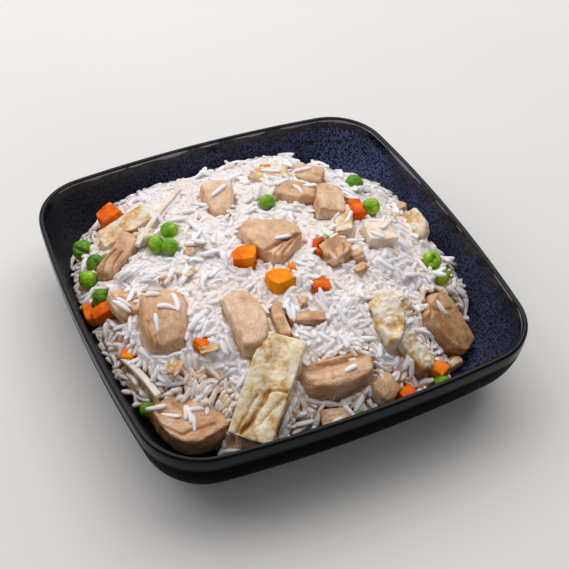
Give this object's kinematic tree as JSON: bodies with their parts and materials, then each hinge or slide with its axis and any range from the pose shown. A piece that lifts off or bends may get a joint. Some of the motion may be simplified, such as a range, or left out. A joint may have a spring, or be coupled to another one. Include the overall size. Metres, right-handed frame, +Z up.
{
  "type": "plate of special fried rice",
  "caption": "Square black speckled stoneware dish heaped with fried rice, chicken chunks, omelette strips, peas and carrot dice.",
  "frame": {"origin": "on the table, under the middle of the dish", "axes": "+Z up, +X and +Y square to the dish's sides"},
  "size_m": [0.19, 0.19, 0.057],
  "materials": {
    "stoneware": "satin black glaze speckled with grey-blue, worn to a thin pale line along the rim",
    "rice": "moist long-grain rice, translucent white with warm shade between the grains",
    "chicken": "cooked chicken breast, pale tan, fibrous and slightly moist",
    "omelette": "pale omelette with golden browned flecks",
    "pea": "glossy green pea skin with small wrinkles",
    "carrot": "moist cooked carrot, orange",
    "sprout": "translucent pale bean sprout strip"
  },
  "bodies": {
    "root": {"dish": "stoneware", "rice_heap": "rice", "chicken_1": "chicken", "chicken_2": "chicken", "chicken_3": "chicken", "chicken_4": "chicken", "chicken_5": "chicken", "chicken_6": "chicken", "chicken_7": "chicken", "chicken_8": "chicken", "chicken_9": "chicken", "chicken_10": "chicken", "chicken_11": "chicken", "chicken_12": "chicken", "chicken_13": "chicken", "chicken_14": "chicken", "chicken_15": "chicken", "chicken_16": "chicken", "chicken_17": "chicken", "chicken_18": "chicken", "chicken_19": "chicken", "chicken_20": "chicken", "omelette_1": "omelette", "omelette_2": "omelette", "omelette_3": "omelette", "omelette_4": "omelette", "omelette_5": "omelette", "omelette_6": "omelette", "omelette_7": "omelette", "omelette_8": "omelette", "carrot_1": "carrot", "carrot_2": "carrot", "carrot_3": "carrot", "carrot_4": "carrot", "carrot_5": "carrot", "carrot_6": "carrot", "carrot_7": "carrot", "carrot_8": "carrot", "carrot_9": "carrot", "carrot_10": "carrot", "carrot_11": "carrot", "carrot_12": "carrot", "carrot_13": "carrot", "pea_1": "pea", "pea_2": "pea", "pea_3": "pea", "pea_4": "pea", "pea_5": "pea", "pea_6": "pea", "pea_7": "pea", "pea_8": "pea", "pea_9": "pea", "pea_10": "pea", "pea_11": "pea", "pea_12": "pea", "pea_13": "pea", "pea_14": "pea", "pea_15": "pea", "sprout_1": "sprout", "sprout_2": "sprout"}
  },
  "joints": []
}
